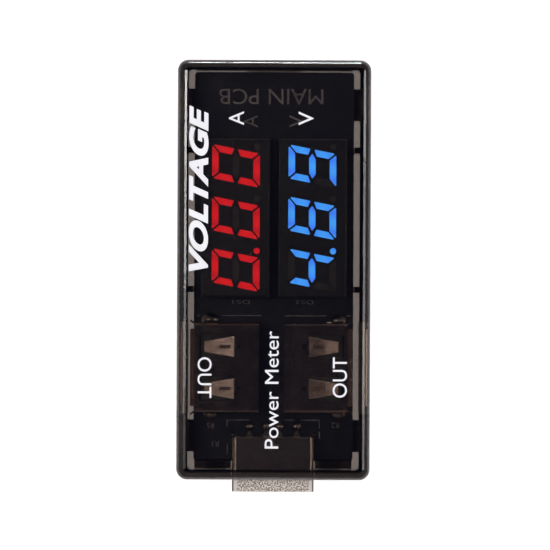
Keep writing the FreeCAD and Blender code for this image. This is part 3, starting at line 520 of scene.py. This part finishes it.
for name, words, middle, length, tall, reads in (
        ("board_name", "MAIN PCB", spot(-0.49, 56.4), 15.4, 2.3, OVER),
        ("board_amps", "A", spot(-3.48, 52.74), 1.8, 2.1, UPWARDS),
        ("board_volts", "V", spot(3.25, 52.77), 1.8, 2.1, UPWARDS),
        ("left_mark", "DS1", spot(-4.8, 26.05), 2.6, 0.6, OVER),
        ("right_mark", "DS2", spot(4.55, 26.05), 2.6, 0.6, OVER),
        ("first_mark", "R5", spot(-9.24, 7.8), 1.05, 0.8, OVER),
        ("second_mark", "R1", spot(-8.49, 5.1), 0.95, 0.8, OVER),
        ("third_mark", "R2", spot(9.18, 7.9), 1.1, 0.8, OVER)):
    print_words(name, words, middle, length * MM, tall * MM, reads, BOARD_FACE, board_ink)

SOCKET_OUTLINES = [(-7.7, 24.05, -1.8, 24.05), (-11.3, 24.0, -10.9, 24.0), (1.7, 24.05, 7.8, 24.05),
                   (10.85, 24.05, 11.4, 24.05)]
PLUG_OUTLINES = [(-6.8, 8.62, -3.5, 8.62), (1.7, 8.64, 3.1, 8.64), (4.1, 8.65, 6.85, 8.65),
                 (-6.8, 8.7, -6.8, 7.6), (-6.75, 5.0, -6.75, 3.6), (6.85, 8.7, 6.85, 7.4),
                 (6.85, 6.95, 6.85, 5.9)]
strokes = np.array(SOCKET_OUTLINES + PLUG_OUTLINES).reshape(-1, 2, 2) * MM + (0, foot)
print_lines("connector_outlines", strokes, LINE_WIDE, BOARD_FACE, board_ink)


# ---- Solder on the front of the board -----------------------------------------------------------
# Mounds of tin solder around the sockets' legs, the plug's tails and the corners of its shell. They
# hold those pieces to the board, and each has an oval foot.

front_solder = finish_material("front_solder", (0.34, 0.31, 0.28), 0.22, metallic=1.0, grain=600.0)


def lay_grid(name, points, closed, metal, body):
    """A smooth sheet over a grid of points (rows, steps, 3); closed joins each row's end to its start."""
    rows, steps = points.shape[:2]
    index = np.arange(rows * steps).reshape(rows, steps)
    if closed:
        index = np.column_stack((index, index[:, :1]))
    corners = (index[:-1, :-1], index[1:, :-1], index[1:, 1:], index[:-1, 1:])
    quads = np.stack([corner.ravel() for corner in corners], axis=1)
    mesh = bpy.data.meshes.new(name)
    mesh.from_pydata(points.reshape(-1, 3).tolist(), [], quads.tolist())
    mesh.shade_smooth()
    fix_piece(name, mesh, metal, body)


def dome(name, middle, wide, deep, tall, level):
    """A solder mound on an oval foot: height is the square root of one minus radius squared, times tall.

    The radius runs from almost nothing at the crown to one at the foot, where a last row dips into the
    board, and the turn runs once around.
    """
    radius = np.append(np.sin(np.linspace(0.001, np.pi / 2, 8)), 1.0)[:, None]
    turn = np.linspace(0, 2 * np.pi, 33)[None, :-1]
    height = tall * np.sqrt(np.maximum(0, 1 - radius ** 2))
    height[-1] = -0.02 * MM
    grid = np.broadcast_arrays(middle[0] + wide * radius * np.cos(turn),
                               middle[1] + deep * radius * np.sin(turn), level + height)
    lay_grid(name, np.stack(grid, axis=2), True, front_solder, "meter")


LEG_MOUNDS = [(-9.3, 23.45, 1.4, 1.0, 0.8), (9.62, 23.4, 1.15, 0.85, 0.7), (-9.3, 9.45, 1.1, 0.6, 0.5),
              (9.62, 9.5, 1.1, 0.6, 0.5)]
TAIL_MOUNDS = [(across, 7.7, 0.72, 0.72, 0.5) for across in (-3.5, -1.0, 1.0, 3.5)]
CORNER_MOUNDS = [(across, 6.5, 0.4, 0.4, 0.7) for across in (-6.0, 6.0)]
for number, (across, along, wide, deep, tall) in enumerate(LEG_MOUNDS + TAIL_MOUNDS + CORNER_MOUNDS):
    dome("front_solder_%d" % number, spot(across, along), wide * MM, deep * MM, tall * MM, BOARD_FACE)


# ---- Stiffening ribs on the leaf springs --------------------------------------------------------
# A rib pressed along each leaf of the front springs, of the same plated steel and the same painted shade.
# It rides on the spring that it stiffens, and turns with it.

LEAF_RUN = 2.54 * MM
LEAF_DIP = 0.5 * MM
RIB_HALF_LONG = 0.85 * MM
RIB_HALF_WIDE = 0.28 * MM
RIB_TALL = 0.12 * MM
RIB_SINK = 0.01 * MM


def lay_rib(name, middle, leaf):
    """A pressed rib on a leaf that slopes down from its root to its bend.

    The leaf's face drops by its dip over its run, in proportion to the distance from the root. The rib's
    height is one less the fourth power of the way along it, times one less the square of the way across.
    """
    low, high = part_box(leaf)
    root = min(abs(low[0]), abs(high[0]))
    along, across = np.meshgrid(np.linspace(-1, 1, 13), np.linspace(-1, 1, 9), indexing="ij")
    x, y = middle[0] + along * RIB_HALF_LONG, middle[1] + across * RIB_HALF_WIDE
    face = high[2] - LEAF_DIP * (np.abs(x) - root) / LEAF_RUN
    z = face + RIB_TALL * (1 - along ** 4) * (1 - across ** 2) - RIB_SINK
    lay_grid(name, np.dstack((x, y, z)), False, spring_steel_painted_shade, leaf)


for side, across in (("left", -7.1), ("right", 6.55)):
    for name, along in (("near", 13.38), ("far", 19.52)):
        lay_rib("%s_%s_rib" % (side, name), spot(across, along), side + "_socket_front_springs")
